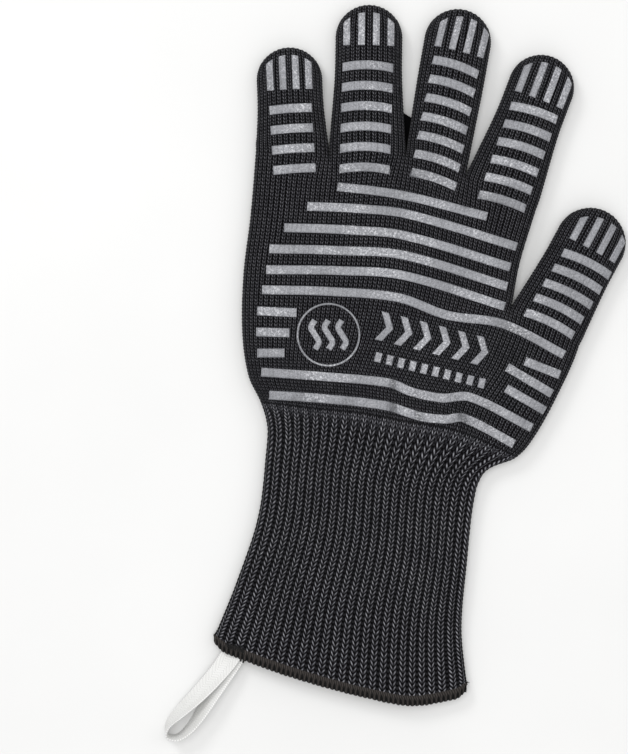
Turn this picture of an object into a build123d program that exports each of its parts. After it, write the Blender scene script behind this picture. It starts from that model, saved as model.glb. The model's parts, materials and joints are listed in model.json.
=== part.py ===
from build123d import *
import os
from collections import namedtuple
from math import cos, radians, sin, tan

os.makedirs("parts", exist_ok=True)

# A right-hand knitted glove lying on its back, palm up: fingers point to +Y and the thumb to +X.
# The origin is on the floor under the middle of the palm. All sizes are in millimetres.

# Cloth and print thicknesses
PRINT = 0.7  # raised silicone print, on both faces of the glove
SHELL = 1.8  # outer aramid knit
LINER = 1.4  # inner cotton glove
PLY_GAP = 0.1  # between the two plies
FLOOR = PRINT  # underside of the knit: the glove lies on its back print
FINGER_THICK = 13.0
PALM_THICK = 16.0
CUFF_THICK = 14.0
EDGE_ROUND = 3.0  # soft outer edges of the knit
FOLD_Z = FLOOR + FINGER_THICK / 2  # height of every fold axis

# Fold notches: half angles of the V that each fold closes, and the clearance at its root
ROOT_GAP = 0.35
CURL_HALF = 45.0  # fingers curling onto the palm, 90 degrees in all
BACK_HALF = 7.5  # fingers bending back, 15 degrees in all
THUMB_CURL_HALF = 40.0
THUMB_BACK_HALF = 5.0
WRIST_UP_HALF = 30.0
WRIST_DOWN_HALF = 22.5
LOOP_HALF = 43.0

# Silicone grip bars
BAR = 4.5  # width of a cross bar or stripe
TIP_BAR = 3.5  # width of a lengthwise bar on a fingertip
TIP_LENGTH = 17.0
TIP_BARS = 4
TIP_MARGIN = 3.9  # from the fingertip to the lengthwise bars
TIP_SIDE = 2.6  # from the side of a fingertip to its bars
SLIVER = 1.2  # a bar left narrower than this by a notch is dropped

# Cross bars of a digit: how many, their width, from the fingertip to the middle of the first one,
# their pitch, and the pitch of the lengthwise bars beyond them.
Bars = namedtuple("Bars", "count width first pitch tip_pitch")
# Digits: knuckle fold centre, lean towards the thumb in degrees, widths, length from the knuckle
# fold to the tip, distance between the two folds, bars, and the half angles of the notches.
Digit = namedtuple("Digit", "knuckle lean base tip length fold bars curl back")
FINGER = (CURL_HALF, BACK_HALF)
THUMB = (THUMB_CURL_HALF, THUMB_BACK_HALF)
DIGITS = {
    "pinky": Digit((-42.4, 86.5), -2.0, 33.0, 31.0, 40.2, 21.0, Bars(4, 20.3, 29.8, 9.5, 6.1), *FINGER),
    "ring": Digit((-6.3, 85.6), 1.0, 33.0, 30.4, 61.5, 31.0, Bars(6, 24.2, 30.0, 9.7, 6.9), *FINGER),
    "middle": Digit((28.5, 81.6), 10.0, 29.5, 30.0, 63.4, 32.0, Bars(7, 22.8, 28.0, 9.1, 6.9), *FINGER),
    "index": Digit((61.1, 68.3), 21.5, 33.0, 31.0, 57.5, 29.0, Bars(6, 23.4, 28.4, 9.0, 7.0), *FINGER),
    "thumb": Digit((82.7, 2.3), 28.0, 37.0, 34.0, 52.6, 26.0, Bars(5, 25.6, 27.7, 8.3, 7.1), *THUMB),
}
STUB = 24.0  # how far a digit runs back into the palm

# Palm outline, from the little finger's root round past the thumb to the wrist
PALM_OUTLINE = [
    (-59.0, 80.0), (-24.5, 76.0), (11.5, 77.0), (40.5, 66.5), (74.0, 55.0), (66.0, 26.5), (62.0, 3.0),
    (94.5, -15.5), (87.9, -31.0), (73.1, -59.5), (64.6, -69.5), (52.2, -73.8), (47.0, -81.9),
    (43.5, -97.0), (-58.5, -68.0), (-54.2, -53.3), (-58.0, -41.0), (-65.6, -27.2), (-65.6, 3.7),
]
WRIST = (-3.6, -67.6)
WRIST_LEAN = 14.0  # the wrist fold runs down towards the thumb side
CUFF_LEFT = [(-52.0, -42.0), (-54.2, -55.0), (-58.5, -97.1), (-69.4, -129.8), (-80.3, -155.0)]
CUFF_HEM = [(-80.0, -158.0), (-58.5, -164.6), (-25.7, -176.4), (8.0, -185.0), (39.5, -181.5)]
CUFF_RIGHT = [(38.5, -140.8), (39.4, -124.1), (47.0, -81.9), (52.0, -60.0)]
HEM_BAND = 5.0  # height of the overlocked binding
CUFF_REACH = 150.0  # longer than the cuff
HEM_PROUD = 0.4  # how far the binding stands out from the knit
HEM_RUN = 12.0  # blocks that are cut at the hem run on past it

# Hanging loop: twill tape on edge, a pinched neck and a round bight
TAPE_WIDTH = 9.0
TAPE_THICK = 0.9
LOOP_ROOT = (-70.5, -160.6)
LOOP_LEAN = 39.5  # away from -Y, towards -X
LOOP_NECK = 6.0  # from the hem to the loop's fold
LOOP_SLIT = 13.2  # from the fold to where the tape's two sides part
LOOP_LENGTH = 44.0  # from the fold to the end of the bight
LOOP_HALF_WIDTH = 5.5
NECK_THICK = 2 * TAPE_THICK
BARTACK_AT = (-69.3, -159.0)
BARTACK_SIZE = (8.0, 2.4)  # along and across the hem
BARTACK_THICK = 0.8
HEM_LEAN = 17.0  # slope of the hem at the loop

# Printed stripes that cross the palm, as the points that each one passes through
PALM_STRIPES = [
    [(-20.9, 60.2), (10.0, 55.5), (50.3, 45.9)],
    [(-35.2, 50.7), (-10.0, 49.3), (12.0, 46.5), (64.6, 31.7)],
    [(-46.1, 40.7), (-15.0, 39.2), (10.0, 37.0), (61.4, 22.0)],
    [(-53.2, 30.7), (-20.0, 29.5), (10.0, 27.5), (60.0, 12.8)],
    [(-54.7, 20.8), (-20.0, 20.0), (10.0, 18.0), (58.8, 3.4)],
    [(-56.6, 11.3), (-25.0, 10.0), (8.0, 7.0), (31.0, -0.8), (58.0, -5.0), (85.5, -19.0)],
    [(-58.9, 1.3), (-39.9, 0.3)],
    [(-59.4, -8.7), (-43.3, -9.2)],
    [(-58.9, -18.7), (-45.6, -18.7)],
    [
        (-57.0, -27.7), (-28.0, -29.8), (3.8, -32.9), (14.0, -36.5),
        (28.5, -40.0), (42.0, -40.0), (70.5, -53.5),
    ],
    [
        (-53.2, -38.6), (-25.0, -40.5), (2.8, -43.8), (18.0, -48.6),
        (30.0, -50.0), (39.0, -49.7), (61.2, -60.9),
    ],
    [(67.9, -22.5), (83.0, -28.6)],
    [(59.4, -25.3), (79.2, -37.1)],
    [(58.9, -35.3), (75.9, -45.2)],
]
BACK_STRIPES = [
    [(-31.0, 52.2), (5.0, 53.6), (41.0, 53.0)],
    [(-44.0, 42.5), (-27.0, 42.3)],
    [(-54.0, 33.2), (-25.7, 33.7)],
    [(-58.5, 22.1), (-24.7, 24.2)],
    [(-59.0, 12.3), (-23.6, 15.3)],
    [(-59.0, 3.9), (-22.0, 6.5)],
    [(-59.0, -5.5), (-43.6, -4.5)],
    [(-59.0, -15.0), (-44.7, -14.3)],
    [(-57.0, -24.0), (-28.0, -22.3), (0.0, -21.5), (30.0, -24.0), (62.0, -34.0)],
    [(-54.0, -32.2), (-28.0, -30.4), (0.0, -29.6), (28.0, -32.0), (64.0, -43.0)],
    [(-50.0, -42.1), (-25.0, -39.8), (0.0, -38.5), (26.0, -41.0), (58.0, -52.0)],
]

# Round badges with three wavy heat lines, and grip blocks of chevrons and dashes
PALM_BADGE_AT = (-25.0, -10.1)
PALM_BADGE_R = 15.2
BACK_BADGE_AT = (5.0, 27.0)
BACK_BADGE_R = 20.5
BADGE_RING = 1.4
# Shares of a badge's radius: half length, sway, spacing and width of a wavy line
WAVE_REACH = 0.42
WAVE_SWAY = 0.12
WAVE_SPACING = 0.42
WAVE_WIDTH = 0.2
BLOCK_LEAN = 14.0
CHEVRON_PITCH = 9.3
CHEVRON_HEIGHT = 14.0
CHEVRON_ARM = 3.6
CHEVRON_POINT = 4.0
PALM_CHEVRONS = 6
PALM_CHEVRON_START = (2.0, -6.5)
BACK_CHEVRONS = 9
BACK_CHEVRON_START = (-36.3, -5.0)
DASH_START = (-1.5, -20.8)
DASH_PITCH = 5.6
DASHES = 10
DASH_SIZE = (3.4, 5.0)

FAR = 60.0  # reaches past the thickness of any piece in a fold cut
PLIES = {"shell": (0.0, SHELL), "liner": (SHELL + PLY_GAP, SHELL + PLY_GAP + LINER)}
CURL_MOUTH = ROOT_GAP + (FINGER_THICK / 2 + PRINT) * tan(radians(CURL_HALF))
BACK_MOUTH = ROOT_GAP + (FINGER_THICK / 2 + PRINT) * tan(radians(BACK_HALF))


def plan_plane(centre, lean, height=0.0):
    """A level plane whose Y runs along a part that leans from +Y towards +X."""
    across = (cos(radians(lean)), -sin(radians(lean)), 0.0)
    return Plane(origin=(centre[0], centre[1], height), x_dir=across, z_dir=(0, 0, 1))


def fold_cut(centre, lean, up_half, down_half, side, height=FOLD_Z):
    """The space that a piece leaves free at a fold: side 1 is ahead of the axis, -1 behind it."""
    along = (sin(radians(lean)), cos(radians(lean)), 0.0)
    axis = (cos(radians(lean)), -sin(radians(lean)), 0.0)
    up_reach = ROOT_GAP + FAR * tan(radians(up_half))
    down_reach = ROOT_GAP + FAR * tan(radians(down_half))
    with BuildPart() as cut:
        with BuildSketch(Plane(origin=(centre[0], centre[1], height), x_dir=along, z_dir=axis)):
            with BuildLine():
                Polyline(
                    (-side * ROOT_GAP, 0), (-side * up_reach, FAR), (side * 2 * FAR, FAR),
                    (side * 2 * FAR, -FAR), (-side * down_reach, -FAR), close=True,
                )
            make_face()
        extrude(amount=2 * FAR, both=True)
    return cut.part


def soften(block, radius):
    """Rounds the upper and lower rims of an extruded block."""
    levels = block.faces().filter_by(Axis.Z).sort_by(Axis.Z)
    rims = ShapeList(levels[0].edges() + levels[-1].edges())
    return fillet(rims, radius)


def digit_block(digit, inset):
    """One whole digit, drawn smaller all round by the inset."""
    half_base = digit.base / 2 - inset
    half_tip = digit.tip / 2 - inset
    end = digit.length - inset
    with BuildPart() as block:
        with BuildSketch(plan_plane(digit.knuckle, digit.lean, FLOOR + inset)):
            with BuildLine():
                left = (-half_tip, end - half_tip)
                right = (half_tip, end - half_tip)
                Polyline(left, (-half_base, -STUB), (half_base, -STUB), right)
                ThreePointArc(right, (0, end), left)
            make_face()
        extrude(amount=FINGER_THICK - 2 * inset)
        if inset < EDGE_ROUND:
            soften(block, EDGE_ROUND - inset / 2)
    return block.part


def palm_block(inset):
    """The palm without its digits, drawn smaller all round by the inset."""
    with BuildPart() as block:
        with BuildSketch(Plane.XY.offset(FLOOR + inset)):
            with BuildLine():
                Polyline(*PALM_OUTLINE, close=True)
            make_face()
            if inset > 0:
                offset(amount=-inset, mode=Mode.REPLACE)
        extrude(amount=PALM_THICK - 2 * inset)
        if inset < EDGE_ROUND:
            soften(block, EDGE_ROUND - inset / 2)
    return block.part


def cuff_block(inset, run=0.0):
    """The cuff, drawn smaller all round by the inset; the run carries its open end further out."""
    hem = [(x, y - run) for x, y in CUFF_HEM]
    with BuildPart() as block:
        with BuildSketch(Plane.XY.offset(FLOOR + inset)):
            with BuildLine():
                Polyline(*CUFF_LEFT, *hem, *CUFF_RIGHT, close=True)
            make_face()
            if inset != 0:
                offset(amount=-inset, mode=Mode.REPLACE)
        extrude(amount=CUFF_THICK - 2 * inset)
        if inset < EDGE_ROUND:
            soften(block, EDGE_ROUND - inset / 2)
    return block.part


def hem_zone(near, far):
    """The band between two lines that run beside the hem, by their distance up from it."""
    start, end = CUFF_HEM[0], CUFF_HEM[-1]
    points = [(start[0] - FAR, start[1]), *CUFF_HEM, (end[0] + FAR, end[1])]
    lower = [(x, y + near) for x, y in points]
    upper = [(x, y + far) for x, y in reversed(points)]
    with BuildPart() as zone:
        with BuildSketch(Plane.XY.offset(-FAR)):
            with BuildLine():
                Polyline(*lower, *upper, close=True)
            make_face()
        extrude(amount=2 * FAR)
    return zone.part


def keep(part, name):
    """Labels a finished sub-part and writes its file."""
    part.label = name
    export_step(part, f"parts/{name}.step")


def build_piece(name, adds, cuts):
    """A sub-part made of the added solids less the cut ones."""
    with BuildPart() as piece:
        for solid in adds:
            add(solid)
        for solid in cuts:
            add(solid, mode=Mode.SUBTRACT)
    keep(piece.part, name)


def fold_centre(digit):
    """Where a digit's second fold crosses its centre line."""
    x, y = digit.knuckle
    return (x + digit.fold * sin(radians(digit.lean)), y + digit.fold * cos(radians(digit.lean)))


def make_digit(name, digit):
    """Shell and liner of a digit's two segments."""
    swing = digit.lean / 2
    second = fold_centre(digit)
    behind_knuckle = fold_cut(digit.knuckle, swing, digit.curl, digit.back, -1)
    ahead_of_second = fold_cut(second, swing, digit.curl, digit.back, 1)
    behind_second = fold_cut(second, swing, digit.curl, digit.back, -1)
    for ply, (outside, inside) in PLIES.items():
        outer = digit_block(digit, outside)
        inner = digit_block(digit, inside)
        build_piece(f"{name}_proximal_{ply}", [outer], [inner, behind_knuckle, ahead_of_second])
        build_piece(f"{name}_distal_{ply}", [outer], [inner, behind_second])


def make_hand():
    """Shell and liner of the palm with the five digit roots."""
    wrist = fold_cut(WRIST, WRIST_LEAN, WRIST_UP_HALF, WRIST_DOWN_HALF, -1)
    for ply, (outside, inside) in PLIES.items():
        layers = []
        for inset in (outside, inside):
            stubs = []
            for digit in DIGITS.values():
                whole = digit_block(digit, inset)
                ahead = fold_cut(digit.knuckle, digit.lean / 2, digit.curl, digit.back, 1)
                with BuildPart() as stub:
                    add(whole)
                    add(ahead, mode=Mode.SUBTRACT)
                stubs.append(stub.part)
            palm = palm_block(inset)
            with BuildPart() as layer:
                add(palm)
                for stub in stubs:
                    add(stub)
            layers.append(layer.part)
        build_piece(f"palm_{ply}", [layers[0]], [layers[1], wrist])


def make_cuff():
    """Shell and liner of the cuff, and the overlocked binding that closes both plies at the hem."""
    wrist = fold_cut(WRIST, WRIST_LEAN, WRIST_UP_HALF, WRIST_DOWN_HALF, 1)
    below_band = hem_zone(-FAR, HEM_BAND)
    for ply, (outside, inside) in PLIES.items():
        outer = cuff_block(outside, HEM_RUN)
        inner = cuff_block(inside, HEM_RUN)
        build_piece(f"cuff_{ply}", [outer], [inner, wrist, below_band])
    proud = cuff_block(-HEM_PROUD)
    hand_space = cuff_block(PLIES["liner"][1], HEM_RUN)
    above_band = hem_zone(HEM_BAND, CUFF_REACH)
    build_piece("hem_binding", [proud], [hand_space, above_band])


def make_loop():
    """Hanging tape: its neck sewn in at the hem, the free loop, and the stitches over the neck."""
    fold = (
        LOOP_ROOT[0] - LOOP_NECK * sin(radians(LOOP_LEAN)),
        LOOP_ROOT[1] - LOOP_NECK * cos(radians(LOOP_LEAN)),
    )
    lean = 180.0 + LOOP_LEAN
    height = TAPE_WIDTH / 2
    neck_cut = fold_cut(fold, lean, LOOP_HALF, LOOP_HALF, 1, height)
    loop_cut = fold_cut(fold, lean, LOOP_HALF, LOOP_HALF, -1, height)
    proud = cuff_block(-HEM_PROUD)
    with BuildPart() as neck:
        with BuildSketch(plan_plane(fold, lean)):
            Rectangle(NECK_THICK, 3 * LOOP_NECK)
        extrude(amount=TAPE_WIDTH)
        add(neck_cut, mode=Mode.SUBTRACT)
        add(proud, mode=Mode.SUBTRACT)
    keep(neck.part, "hanging_loop_neck")
    bight = LOOP_LENGTH - LOOP_HALF_WIDTH
    with BuildPart() as loop:
        with BuildSketch(plan_plane(fold, lean)):
            with BuildLine():
                neck = NECK_THICK / 2
                Polyline((-neck, -LOOP_NECK), (-neck, LOOP_NECK), (-LOOP_HALF_WIDTH, bight))
                ThreePointArc((-LOOP_HALF_WIDTH, bight), (0, LOOP_LENGTH), (LOOP_HALF_WIDTH, bight))
                Polyline((LOOP_HALF_WIDTH, bight), (neck, LOOP_NECK), (neck, -LOOP_NECK))
                Line((neck, -LOOP_NECK), (-neck, -LOOP_NECK))
            make_face()
        extrude(amount=TAPE_WIDTH)
        with BuildSketch(plan_plane(fold, lean)):
            with BuildLine():
                inner_half = LOOP_HALF_WIDTH - TAPE_THICK
                Polyline((-inner_half, bight), (0, LOOP_SLIT), (inner_half, bight))
                ThreePointArc((inner_half, bight), (0, LOOP_LENGTH - TAPE_THICK), (-inner_half, bight))
            make_face()
        extrude(amount=TAPE_WIDTH, mode=Mode.SUBTRACT)
        add(loop_cut, mode=Mode.SUBTRACT)
    keep(loop.part, "hanging_loop")


def make_bartack():
    """The stitches that hold the tape's root, lying across the binding."""
    with BuildPart() as bartack:
        with BuildSketch(plan_plane(BARTACK_AT, HEM_LEAN, FLOOR + CUFF_THICK + HEM_PROUD)):
            Rectangle(*BARTACK_SIZE)
        extrude(amount=BARTACK_THICK)
    keep(bartack.part, "loop_bartack")


def bar_spans(digit):
    """Start and end of each cross bar along a digit, counted from the fingertip back."""
    bars = digit.bars
    middles = [digit.length - bars.first - i * bars.pitch for i in range(bars.count)]
    return [(middle - BAR / 2, middle + BAR / 2) for middle in middles]


def make_digit_print(name, digit, face, bottom, mouth):
    """Grip bars on one face of a digit's two segments; the mouth is that face's notch half width."""
    plane = plan_plane(digit.knuckle, digit.lean, bottom)
    swing = digit.lean / 2
    second = fold_centre(digit)
    cuts = {
        "proximal": [
            fold_cut(digit.knuckle, swing, digit.curl, digit.back, -1),
            fold_cut(second, swing, digit.curl, digit.back, 1),
        ],
        "distal": [fold_cut(second, swing, digit.curl, digit.back, -1)],
    }
    zones = {
        "proximal": (mouth, digit.fold - mouth),
        "distal": (digit.fold + mouth, digit.length),
    }
    tip_half = digit.tip / 2 - TIP_SIDE
    tip_end = digit.length - TIP_MARGIN
    tip_left = (-tip_half, tip_end - tip_half)
    tip_right = (tip_half, tip_end - tip_half)
    for segment, (low, high) in zones.items():
        spans = []
        for start, end in bar_spans(digit):
            if min(end, high) - max(start, low) > SLIVER:
                spans.append((max(start, low), min(end, high)))
        with BuildPart() as grips:
            with BuildSketch(plane):
                for start, end in spans:
                    with Locations((0, (start + end) / 2)):
                        Rectangle(digit.bars.width, end - start)
                if segment == "distal":
                    with Locations((0, tip_end - TIP_LENGTH / 2)):
                        with GridLocations(digit.bars.tip_pitch, 0, TIP_BARS, 1):
                            Rectangle(TIP_BAR, TIP_LENGTH)
                    with BuildSketch(plane, mode=Mode.INTERSECT):
                        with BuildLine():
                            Polyline(tip_left, (-tip_half, 0), (tip_half, 0), tip_right)
                            ThreePointArc(tip_right, (0, tip_end), tip_left)
                        make_face()
            extrude(amount=PRINT)
            for cut in cuts[segment]:
                add(cut, mode=Mode.SUBTRACT)
        keep(grips.part, f"{name}_{segment}_{face}_grips")


def make_stripes(name, routes, bottom):
    """Stripes that follow their routes across the palm or the back."""
    with BuildPart() as stripes:
        with BuildSketch(Plane.XY.offset(bottom)):
            for route in routes:
                with BuildLine():
                    if len(route) > 2:
                        Spline(*route)
                    else:
                        Line(*route)
                trace(line_width=BAR)
        extrude(amount=PRINT)
    keep(stripes.part, name)


def make_badge(name, centre, radius, bottom):
    """A ring with three wavy heat lines inside it."""
    wave = radius * WAVE_REACH
    sway = radius * WAVE_SWAY
    with BuildPart() as badge:
        with BuildSketch(Plane(origin=(centre[0], centre[1], bottom))):
            Circle(radius)
            Circle(radius - BADGE_RING, mode=Mode.SUBTRACT)
            for i in (-1, 0, 1):
                x = i * radius * WAVE_SPACING
                with BuildLine():
                    Spline((x, -wave), (x + sway, -wave / 2), (x, 0), (x - sway, wave / 2), (x, wave))
                trace(line_width=radius * WAVE_WIDTH)
        extrude(amount=PRINT)
    keep(badge.part, name)


def make_grip_block(name, start, lean, count, dashes, bottom):
    """A row of chevrons, with a row of short dashes below it on the palm."""
    arm = CHEVRON_ARM / 2
    half = CHEVRON_HEIGHT / 2
    lead = CHEVRON_POINT / 2
    outline = [
        (-arm - lead, half), (arm - lead, half), (arm + lead, 0),
        (arm - lead, -half), (-arm - lead, -half), (lead - arm, 0),
    ]
    with BuildPart() as block:
        with BuildSketch(plan_plane(start, lean, bottom)):
            for i in range(count):
                with Locations((i * CHEVRON_PITCH, 0)):
                    Polygon(*outline, align=None)
        if dashes:
            with BuildSketch(plan_plane(DASH_START, lean, bottom)):
                for i in range(dashes):
                    with Locations((i * DASH_PITCH, 0)):
                        Rectangle(*DASH_SIZE)
        extrude(amount=PRINT)
    keep(block.part, name)


palm_top = FLOOR + PALM_THICK
for digit_name, one_digit in DIGITS.items():
    make_digit(digit_name, one_digit)
    make_digit_print(digit_name, one_digit, "palm", FLOOR + FINGER_THICK, CURL_MOUTH)
    make_digit_print(digit_name, one_digit, "back", 0.0, BACK_MOUTH)
make_hand()
make_cuff()
make_loop()
make_bartack()
make_stripes("palm_stripes", PALM_STRIPES, palm_top)
make_stripes("back_stripes", BACK_STRIPES, 0.0)
make_badge("palm_badge", PALM_BADGE_AT, PALM_BADGE_R, palm_top)
make_badge("back_badge", BACK_BADGE_AT, BACK_BADGE_R, 0.0)
make_grip_block("palm_grip_block", PALM_CHEVRON_START, BLOCK_LEAN, PALM_CHEVRONS, DASHES, palm_top)
make_grip_block("back_grip_block", BACK_CHEVRON_START, 0.0, BACK_CHEVRONS, 0, 0.0)
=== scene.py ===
"""Knitted heat resistant glove, palm up: knit, silicone print, overlocked hem and hanging tape."""
import json
import math

import bpy
import numpy as np
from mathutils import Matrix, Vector
from mathutils.bvhtree import BVHTree


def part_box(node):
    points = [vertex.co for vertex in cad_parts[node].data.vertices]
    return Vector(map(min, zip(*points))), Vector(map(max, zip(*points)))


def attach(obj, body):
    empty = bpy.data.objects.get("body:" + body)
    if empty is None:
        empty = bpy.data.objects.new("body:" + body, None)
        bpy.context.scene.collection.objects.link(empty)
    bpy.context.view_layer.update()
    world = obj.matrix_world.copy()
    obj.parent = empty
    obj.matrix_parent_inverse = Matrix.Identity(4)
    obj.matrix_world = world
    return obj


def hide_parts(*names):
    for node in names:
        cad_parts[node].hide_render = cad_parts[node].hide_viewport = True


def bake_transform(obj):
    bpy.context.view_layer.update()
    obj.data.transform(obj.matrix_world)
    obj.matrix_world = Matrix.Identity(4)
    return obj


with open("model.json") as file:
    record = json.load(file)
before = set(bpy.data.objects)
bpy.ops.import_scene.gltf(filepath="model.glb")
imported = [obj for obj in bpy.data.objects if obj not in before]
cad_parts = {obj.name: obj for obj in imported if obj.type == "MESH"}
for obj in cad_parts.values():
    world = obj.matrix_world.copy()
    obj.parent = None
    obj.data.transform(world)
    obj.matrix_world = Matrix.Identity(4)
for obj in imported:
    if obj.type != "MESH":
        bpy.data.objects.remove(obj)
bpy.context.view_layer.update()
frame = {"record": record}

MM = 0.001
rng = np.random.default_rng(7)

# ------------ sizes, in millimetres
# Knit. A wale is a column of stitches and a course is a row of them.
COURSE = 1.62  # height of one course of jersey
RIB_COURSE = 2.2
ACROSS = 6  # mesh steps over one wale
ALONG = 4  # mesh steps over one course
WALES = {"pinky": 15, "ring": 15, "middle": 14, "index": 15, "thumb": 16}
EDGES = np.concatenate([[0], np.cumsum(list(WALES.values()))])  # wale count at each column's edge
CROSSING = EDGES[-2]  # the wale where the thumb's column begins
STITCH = 0.52  # height of a stitch's two legs above the hollows between them
SLANT = 1.15  # courses that a leg climbs from the middle of its wale to the side
RIB_WALES = 3
RIB_RISE = 0.55
# Of a rib's three wales the middle one is spread over its crest: shares of the rib, and the wales there
GATHERED = ([0.0, 0.10, 0.90, 1.0], [0.5, 1.0, 2.0, 2.5])
RIB_SHADE = 0.34  # painted shade: how much darker the furrow between two ribs is painted
RIB_FADE = 7.0  # courses over which jersey turns into rib
EDGE_BEAD = 0.22  # how far single stitches stand out along the silhouette
SQUEEZE = 0.031  # wales lie a little closer beside an edge of the glove
SQUEEZE_FADE = 14.0  # how far that goes on below the roots of two digits
CORNER = 5.0  # stitches over which the cuff's corners are rounded
CORNER_LIFT = 2.6  # how far a corner is drawn up
DROP = 1.2  # how far a course on a digit sags at its ends
TIP_DROP = 0.53  # the same at its tip, as a share of the tip's radius
TIP_FADE = 9.0  # distance from the tip over which that dies away
ARC = (0.05, 0.83, 16.0)  # how round a course is low down, how much more at the tip, and its fading
JOIN = 11.0  # over which a digit's courses turn into the palm's

# Thickness
FLOOR = 0.8  # underside of the knit, which lies on its back print
EDGE_Z = 6.0  # height of the silhouette
FINGER_RISE = 6.0
PALM_RISE = 8.6
SIDE_TOP = 15.0  # how far in from the edge the upper side is still curved
SIDE_UNDER = 7.0
PALM_OVER = (12.0, 36.0)  # distances from the edge between which the palm rises above a finger
WRINKLES_OVER = (3.0, 13.0)  # the same for the growth of the wrinkles
WRIST_THIN = 0.12  # share of the thickness that is lost from the palm to the wrist
CUFF_THIN = 0.26  # share that is lost from there to the hem
PLY = 2.0  # from the outside of the knit to the lining
SHADE_SHEET_LENGTH = 23.0  # length of the black sheet of painted shade low in the gap between the ring and middle fingers
SHADE_SHEET_OVERLAP = 0.6
SHADE_SHEET_Z = 4.2

# Stretches to each side of a joint's axis, in millimetres
WRIST_REACH = 11.1
KNUCKLE_REACH = {"pinky": 8.0, "ring": 9.8, "middle": 7.5, "index": 6.7, "thumb": 5.0}
FOLD_REACH = 11.0
FOLD_ROOM = 2.5  # left straight midway between a digit's two folds
LOOP_REACH = 5.0

# Rows of the plan, from the knuckles down to the hem. Each gives the six edges of the five columns of
# stitches, from the little finger's side to the thumb's outer side. The first two have the thumb's
# outer edge only as a guide, and "crotch" is where the thumb parts from the palm.
ROWS = {
    "knuckle": [(-59.4, 78), (-24.7, 74.9), (11.8, 75.6), (40.4, 65.4), (74.1, 50.2), (103, 36)],
    "upper": [(-62, 47), (-28, 45), (6.5, 45), (35, 36), (66.3, 24.5), (99, 9)],
    "crotch": [(-65.3, 20), (-31, 19), (3, 17.5), (31.5, 11), (61.7, 2.2), (94.4, -15.2)],
    "mound": [(-66, -8), (-34, -9), (-3, -10.5), (24, -16), (52, -23), (84.8, -37.5)],
    "stripe": [(-63, -29.5), (-36.5, -31), (-10.5, -33), (13.5, -37), (40, -42.5), (73.5, -58)],
    "last": [(-57, -42.5), (-33.5, -45.5), (-10, -48), (11.5, -52), (36.5, -56.6), (64.4, -68.4)],
    "wrist": [(-54, -54), (-33.7, -59.5), (-13, -65.2), (6.3, -70.3), (27, -74.6), (50.2, -74.8)],
    "neck": [(-54.6, -66), (-35, -71), (-15.2, -76.3), (3.6, -81.3), (23.8, -85.4), (45, -85.6)],
    "cuff": [(-58.5, -97.1), (-38.5, -101.5), (-18.3, -106.5), (0.8, -111.2), (21, -116.2), (40.8, -121)],
    "low": [(-69.4, -129.8), (-47.8, -134), (-26, -139), (-5.4, -143.6), (16.3, -147.8), (38.5, -150.5)],
    "band": [(-79.3, -154.6), (-55.5, -163.4), (-31.2, -171.3), (-8.3, -177.4), (15.5, -181.6),
             (41, -177.4)],
    "hem": [(-79.6, -158.4), (-56.2, -167.2), (-31.8, -175.1), (-8.6, -181.2), (15.6, -185.4),
            (40.9, -181.6)],
}

# Digits: their far end, in the plan, and the radius of the round tip
TIPS = {
    "pinky": ((-44.2, 126.9), 15.5),
    "ring": ((-5.4, 147.2), 15.8),
    "middle": ((39.4, 145.0), 15.8),
    "index": ((82.0, 122.4), 15.6),
    "thumb": ((107.9, 48.5), 16.7),
}

# Print
PRINT = 0.5  # above the bare cloth
PRINT_STEP = 0.42  # between mesh lines
PRINT_LINES = np.array([0.0, 0.14, 0.38])  # the closer ones at its border
PRINT_INSET = 0.9  # from the border to the first of the others
PRINT_ROUND = 0.55  # how far in from its border the print reaches full height
PRINT_SINK = 0.35  # its border goes this far into the knit
SHOW_THROUGH = 0.42  # how much of the stitches' height shows in the print
CREASE_SHADE = 0.85  # painted shade: how much darker the print is painted at the bottom of a crease
CREASE_DEPTH = 1.3
PALM_BADGE = ((-25.0, -10.1), 15.2)  # centre and radius
BACK_BADGE = ((5.0, 27.0), 20.5)
RING = 1.2
HEAT_HALF, HEAT_SWAY, HEAT_PITCH, HEAT_WIDTH = 0.46, 0.12, 0.42, 0.2  # heat lines, in badge radii
PALM_CHEVRONS = ((2.0, -6.5), 14.0, 6)  # first one's centre, lean in degrees, count
BACK_CHEVRONS = ((-36.3, -5.0), 0.0, 9)
CHEVRON_PITCH = 9.3
CHEVRON_HEIGHT = 14.0
CHEVRON_ARM = 3.9
CHEVRON_POINT = 4.0
DASHES = ((-1.5, -20.8), 14.0, 10)  # like the chevrons
DASH = (3.4, 5.0)
DASH_PITCH = 5.6
BAR = 4.5
TIP_BAR = 3.5
TIP_COUNT = 4
TIP_SHORT = 6.0  # how much shorter than TIP_BARS' reach the lengthwise bars are, on average
TIP_TOP = 3.9  # from the end of a digit to its lengthwise bars
TIP_SIDE = 1.4  # kept free beside them
# Cross bars of each digit: how many, their width, from the end of the digit to the middle of the
# first one, their pitch, their slope in degrees, how far the first and the last one lie to the
# right of the middle, and how far they arch.
BARS = {
    "pinky": (4, 20.3, 29.8, 9.53, -1.5, 0, 0.6, 0.2),
    "ring": (6, 24.2, 30, 9.69, 0.5, -0.4, -1.3, 1.2),
    "middle": (7, 22.8, 28, 9.06, 8, 0.9, 0, 0.9),
    "index": (6, 23.4, 28.4, 8.96, -4, 0.7, 1.7, 0.8),
    "thumb": (5, 25.6, 26.6, 8.34, -2.5, 2.7, 0.8, 1),
}
# Lengthwise bars: from the end of the digit to their lower ends, how far they lie to the right,
# their pitch and their slope
TIP_BARS = {
    "pinky": (20.8, 0, 6.1, 0),
    "ring": (20.1, -0.2, 6.95, 0),
    "middle": (21, 1.5, 6.9, 4),
    "index": (22.2, 0.8, 7, 0),
    "thumb": (20.2, 2, 7.1, 0),
}

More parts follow.
